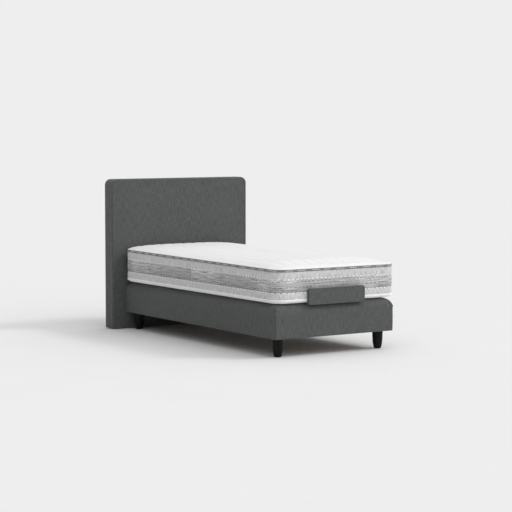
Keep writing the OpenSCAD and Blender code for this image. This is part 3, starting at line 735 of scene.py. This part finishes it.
EDGE = 18 * MM  # from the flat of the top out to the border
WALL = EDGE - 1 * MM  # where the border's seams are, out from the flat
MATTRESS_TALL = 0.236  # height of its side at the foot end
HEAD_RISE = 0.059  # how much taller it is at the head end, as a share
ASKEW = 0.0175  # how far it lies off the bed's axis, per metre of its length
SHIFT = 6 * MM  # how far it lies to the right
FULLNESS = 14 * MM  # how far each side swells past its CAD solid
CORNER = 90 * MM  # radius of its upright corners
UNDERCUT = 9 * MM  # height of the shadow gap under its lowest piping
HEAD_GAP = 6 * MM  # how far the mattress bows up off the bed at the head end
TOP_SEAM = 0.985  # heights of the border's seams, as shares of its height
CORD_SEAMS = (0.962, 0.932, 0.91)
UPPER_CHAIN = (0.705, 0.68)
LOWER_CHAIN = (0.31, 0.28)
LOW_PIPING = 0.11  # top of the white piping
STITCH_LINES = (0.38, 0.46, 0.55, 0.63)
SHOULDER = (11 * MM, 5 * MM)  # width and height of the top's rounding above its seam

CHANNEL_PITCH = 0.094  # from one quilted channel of the top to the next
CHANNEL_DEPTH = 5 * MM
CHANNEL_WIDTH = 8 * MM
CHANNEL_SWAY = 7 * MM  # how far a channel waves to each side
CHANNEL_WAVE = 0.42  # length of one wave
TOP_UNEVEN = 1.5 * MM
FOOT_SLOPE = 0.25  # length over which the top rises from the foot end
CROWN_START = 0.02  # width inside the flat's edge over which the crown comes in
QUILT_START = 0.03  # the same for the channels

HIP_BEND = 0.265  # how far headwards of the hip the bend over it starts
SEAT_CUT = 0.195  # how far footwards of the hip it ends, at the cut between two lengths
LAP_BEND = 0.185  # how far footwards of the lap the bend over it ends
THIGH_CUT = 0.2025  # how far footwards of the lap the other cut is
KNEE_BEND = 0.15  # reach of the bend over the knee, to each side

QUILT, BORDER, BAND, CORD, CORD_STITCHES, CHAIN, PIPING = range(7)  # the mattress's materials


def cord_profile(high, low, out, steps=6):
    """Half a round cord between two heights, standing out from the border."""
    turns = np.linspace(0, math.pi, steps + 1)[1:]
    middle, half = (high + low) / 2, (high - low) / 2
    return [(WALL + out * math.sin(t), middle + half * math.cos(t)) for t in turns]


def panel_profile(high, low, swell, steps):
    """A length of border between two seams, that swells between them."""
    shares = np.linspace(0, 1, steps + 1)[1:]
    return [(WALL + swell * math.sin(math.pi * s) ** 0.7, high + (low - high) * s) for s in shares]


def mattress_walls():
    """The border from its top seam down, as (material number, profile)."""
    def at(*shares):
        return [share * MATTRESS_TALL for share in shares]

    top, upper_cord, lower_cord, cords_end = at(TOP_SEAM, *CORD_SEAMS)
    chain_top, chain_end = at(*UPPER_CHAIN)
    low_chain_top, low_chain_end, piping_top = at(*LOWER_CHAIN, LOW_PIPING)
    wide, tall = SHOULDER
    shoulder = [(WALL - wide * (1 - s) ** 2, top + tall * (1 - s ** 2)) for s in (0.25, 0.5, 0.75, 1)]
    tucked_under = [(EDGE - 14 * MM, UNDERCUT), (EDGE - 14 * MM, 0)]
    return [
        (QUILT, shoulder),
        (CORD, cord_profile(top, upper_cord, 3.5 * MM)),
        (CORD_STITCHES, cord_profile(upper_cord, lower_cord, 3 * MM, 4)),
        (CORD, cord_profile(lower_cord, cords_end, 3.5 * MM)),
        (BORDER, panel_profile(cords_end, chain_top, 2.6 * MM, 10)),
        (CHAIN, cord_profile(chain_top, chain_end, 1.5 * MM, 4)),
        (BAND, panel_profile(chain_end, low_chain_top, 2.4 * MM, 14)),
        (CHAIN, cord_profile(low_chain_top, low_chain_end, 1.5 * MM, 4)),
        (BORDER, panel_profile(low_chain_end, piping_top, 2.4 * MM, 9)),
        (PIPING, cord_profile(piping_top, UNDERCUT, 4 * MM, 8) + tucked_under),
    ]


def lift_towards_head(along):
    """How many times taller the mattress is there than at its foot end. along is 0 to 1."""
    return 1 + HEAD_RISE * along


def quilted_channels(a, b):
    """Depth of the wavy channels that run lengthwise over the top."""
    depth = np.zeros_like(a)
    for k in range(-5, 6):
        line = k * CHANNEL_PITCH + CHANNEL_SWAY * np.sin(b * 2 * math.pi / CHANNEL_WAVE + 1.7 * k)
        depth = depth - CHANNEL_DEPTH * np.exp(-((a - line) / CHANNEL_WIDTH) ** 2)
    return depth


def mattress_top(crest, half, foot, head):
    """Height of the quilted top: it rises to the middle, and to the head end from the foot end."""
    edge_height = MATTRESS_TALL * TOP_SEAM + SHOULDER[1]

    def height(a, b):
        across = 1 - np.clip(np.abs(a) / half, 0, 1) ** 4
        foot_fall = 0.3 + 0.7 * smooth_step(b, foot + EDGE, foot + FOOT_SLOPE)
        inside = np.minimum(half - EDGE - np.abs(a), np.minimum(b - foot, head - b) - EDGE)
        along = (b - foot) / (head - foot)
        crown = (crest - HEAD_GAP * along) / lift_towards_head(along) - edge_height
        crown = crown * across * foot_fall * np.clip(inside / CROWN_START, 0, 1)
        quilting = quilted_channels(a, b) + TOP_UNEVEN * ripple(a, b, 0.45, 6)
        return edge_height + crown + np.clip(inside / QUILT_START, 0, 1) * quilting
    return height


def laid_on_bed(patches, base, foot, head):
    """Puts the mattress's patches on the bed: taller towards the head, and a little askew."""
    placed = []
    for points, cloth, number in patches:
        x, y, z = (points[..., axis] for axis in range(3))
        along = (y - foot) / (head - foot)
        z = base + HEAD_GAP * along + z * lift_towards_head(along)
        placed.append((np.stack([x + SHIFT - ASKEW * y, y, z], -1), cloth, number))
    return placed


def mattress(materials):
    """Three lengths of one mattress, cut apart at the seat and the thigh, each made as one fixed piece in
    place of its CAD nodes.
    """
    names = ("mattress_back", "mattress_seat", "mattress_thigh", "mattress_calf")
    boxes = [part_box(name) for name in names]
    foot, head = min(low.y for low, _ in boxes), max(high.y for _, high in boxes)
    half = max(high.x for _, high in boxes) + FULLNESS
    base, crest = min(low.z for low, _ in boxes), max(high.z for _, high in boxes)
    hip, lap, knee = (hinge_at[name].y for name in ("back_tilt", "thigh_tilt", "knee_bend"))
    seat_cut, thigh_cut = hip - SEAT_CUT, lap - THIGH_CUT
    height = mattress_top(crest - base, half, foot, head)
    lengths = (
        ("mattress_head_part", seat_cut, head, 0, CORNER, names[:1],
         ("back_section", "box_frame", hip + HIP_BEND, seat_cut)),
        ("mattress_middle_part", thigh_cut, seat_cut, 0, 0, names[1:3],
         ("box_frame", "thigh_section", seat_cut, lap - LAP_BEND)),
        ("mattress_foot_part", foot, thigh_cut, CORNER, 0, names[3:],
         ("thigh_section", "calf_section", knee + KNEE_BEND, knee - KNEE_BEND)),
    )
    for name, low, high, low_radius, high_radius, nodes, (first, second, start, end) in lengths:
        inset_low, inset_high = EDGE * bool(low_radius), EDGE * bool(high_radius)
        plan = Plan(half - EDGE, low + inset_low, high - inset_high,
                    low_radius - inset_low, high_radius - inset_high, 14 * MM, 90)
        patches = slab(plan, height, mattress_walls(), by_height=True)
        piece = make_piece(name, laid_on_bed(patches, base, foot, head), materials)
        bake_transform(piece)
        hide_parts(*nodes)


# ---- Finish of the CAD parts ----

def dress_frame():
    """Gives every CAD node that stays in view its material."""
    finishes = {
        black_lacquer(): ("foot_leg_left", "foot_leg_right", "head_leg_left", "head_leg_right"),
        wood("rail_wood", grey(0.26, (1.0, 0.8, 0.58)), grey(0.4, (1.0, 0.82, 0.62)),
             (8 * MM, 0.25, 8 * MM), 0.7, 0.0):
            ("side_rail_left", "side_rail_right", "foot_rail", "head_rail", "corner_blocks",
             "headboard_panel", "stop_board"),
        wood("slat_wood", grey(0.5, (1.0, 0.72, 0.44)), grey(0.66, (1.0, 0.78, 0.52)),
             (0.3, 6 * MM, 1.2 * MM), 0.4, 0.35):
            ("seat_slats", "back_slats", "thigh_slats", "calf_slats"),
        powder_coat(): ("base_side_tubes", "base_cross_tubes", "frame_brackets", "seat_side_tubes",
                        "back_side_tubes", "back_cross_tubes", "back_lift_arms", "thigh_side_tubes",
                        "leg_lift_arms", "calf_side_tubes", "calf_cross_tube", "calf_links", "stop_straps"),
        zinc_plate(): ("leg_studs", "headboard_bolts", "hinge_shafts", "knee_shaft", "back_torsion_tube",
                       "leg_torsion_tube", "calf_link_shaft", "back_drive_slider", "leg_drive_slider"),
        moulded("black_rubber", 0.012, 0.025, 0.72, 1.5 * MM):
            ("floor_glides", "rest_pads", "seat_slat_holders", "back_slat_holders", "thigh_slat_holders",
             "calf_slat_holders", "back_rollers", "leg_rollers"),
        moulded("grey_plastic", 0.035, 0.055, 0.5, 1.0 * MM):
            ("bearing_blocks", "back_drive_housing", "leg_drive_housing", "control_box"),
        backing_cloth(): ("headboard_back_cloth",),
    }
    for material, names in finishes.items():
        for name in names:
            for slot in frame["nodes"][name].material_slots:
                slot.material = material


# ---- Studio ----

PALE = 0.855  # brightness of the floor and of the surround behind it
FLOOR_SHADE = 0.8  # how much light the floor's paper sends back
FLOOR_SIZE = 400
KEY_SHARE = 0.13  # the key light's share of the light on the floor
KEY_HEADING = math.radians(57)  # where it comes from: round from the foot end towards the right
KEY_DROP = math.radians(40)  # how steeply it falls
KEY_SOFTNESS = math.radians(14)
DOME_FALL = 0.5  # how fast the dome of light dims from overhead to the horizon
DOME_LEAN = 0.7  # how much brighter the dome is on its brighter side
DOME_HEADING = math.radians(45)  # where that side is


def pale_floor():
    material, tree, shader = start_material("floor_paper", Roughness=1.0, Specular_IOR_Level=0.0)
    speck = noise(tree, solid_place(tree), (0.4, 0.4, 1), 2)
    low, high = grey(FLOOR_SHADE - 0.002), grey(FLOOR_SHADE + 0.002)
    connect(tree, shader, mix_colours(tree, fade(tree, speck, 0.49, 0.51), low, high))
    bpy.ops.mesh.primitive_plane_add(size=FLOOR_SIZE)
    floor = bpy.context.object
    floor.name = "floor"
    floor.data.materials.append(material)


def dome_light():
    """A soft dome, brighter overhead and to the front right, which is itself seen as plain and pale."""
    world = bpy.data.worlds.new("surround")
    bpy.context.scene.world = world
    world.use_nodes = True
    tree = world.node_tree
    right, away, up = parts_of(tree, add_node(tree, "TexCoord").outputs["Generated"])
    overhead = PALE / FLOOR_SHADE * (1 - KEY_SHARE) * (DOME_FALL + 2) / 2
    fall = maths(tree, "POWER", maths(tree, "MAXIMUM", up, 0.0), DOME_FALL)
    dome = maths(tree, "MULTIPLY", fall, overhead)
    lean_right = maths(tree, "MULTIPLY", right, DOME_LEAN * math.sin(DOME_HEADING))
    lean_away = maths(tree, "MULTIPLY", away, -DOME_LEAN * math.cos(DOME_HEADING))
    lean = maths(tree, "ADD", 1.0, maths(tree, "ADD", lean_right, lean_away))
    dome = maths(tree, "MULTIPLY", dome, lean)
    seen = add_node(tree, "LightPath").outputs["Is Camera Ray"]
    brightness = add_node(tree, "Mix", {0: seen, 2: dome, 3: PALE}, data_type="FLOAT").outputs[0]
    tree.links.new(brightness, tree.nodes["Background"].inputs["Strength"])
    tree.nodes["Background"].inputs["Color"].default_value = grey(1.0)


def key_light():
    """One large soft light from above the foot end's right."""
    light = bpy.data.lights.new("key", "SUN")
    light.energy = PALE / FLOOR_SHADE * KEY_SHARE * math.pi / math.sin(KEY_DROP)
    light.angle = KEY_SOFTNESS
    lamp = bpy.data.objects.new("key", light)
    bpy.context.scene.collection.objects.link(lamp)
    along = math.cos(KEY_DROP)
    towards = Vector((-math.sin(KEY_HEADING) * along, math.cos(KEY_HEADING) * along, -math.sin(KEY_DROP)))
    lamp.rotation_euler = towards.to_track_quat("-Z", "Y").to_euler()


def camera():
    """The camera: a long lens, low, at the near left corner of the foot end."""
    heading, dip = math.radians(33.15), math.radians(4.40)
    view = bpy.data.objects.new("camera", bpy.data.cameras.new("camera"))
    bpy.context.scene.collection.objects.link(view)
    view.data.sensor_width = 36.0
    view.data.lens = 119.84
    view.location = (-6.893, -10.642, 1.587)
    level = math.cos(dip)
    ahead = Vector((math.sin(heading) * level, math.cos(heading) * level, -math.sin(dip)))
    view.rotation_euler = ahead.to_track_quat("-Z", "Y").to_euler()
    bpy.context.scene.camera = view
    bpy.context.scene.view_settings.view_transform = "Standard"


camera()
pale_floor()
dome_light()
key_light()
dress_frame()
fabric = upholstery_fabric()
padded_box(fabric)
headboard(fabric)
mattress_stop(fabric)
mattress([
    mattress_knit("mattress_quilt", 0.84, 0.92, (3 * MM, 60 * MM)),
    mattress_knit("mattress_border", 0.46, 0.82, (9 * MM, 50 * MM)),
    mattress_band(LOWER_CHAIN[0] * MATTRESS_TALL, [share * MATTRESS_TALL for share in STITCH_LINES]),
    rope_piping("cord_dark", 0.17, 0.34, 9 * MM),
    stitch_row("cord_stitches", 0.28, 0.6, 110 * MM, 0.6),
    stitch_row("chain_stitches", 0.42, 0.92, 34 * MM, 0.7),
    mattress_knit("piping_white", 0.88, 0.95, (8 * MM, 20 * MM)),
])
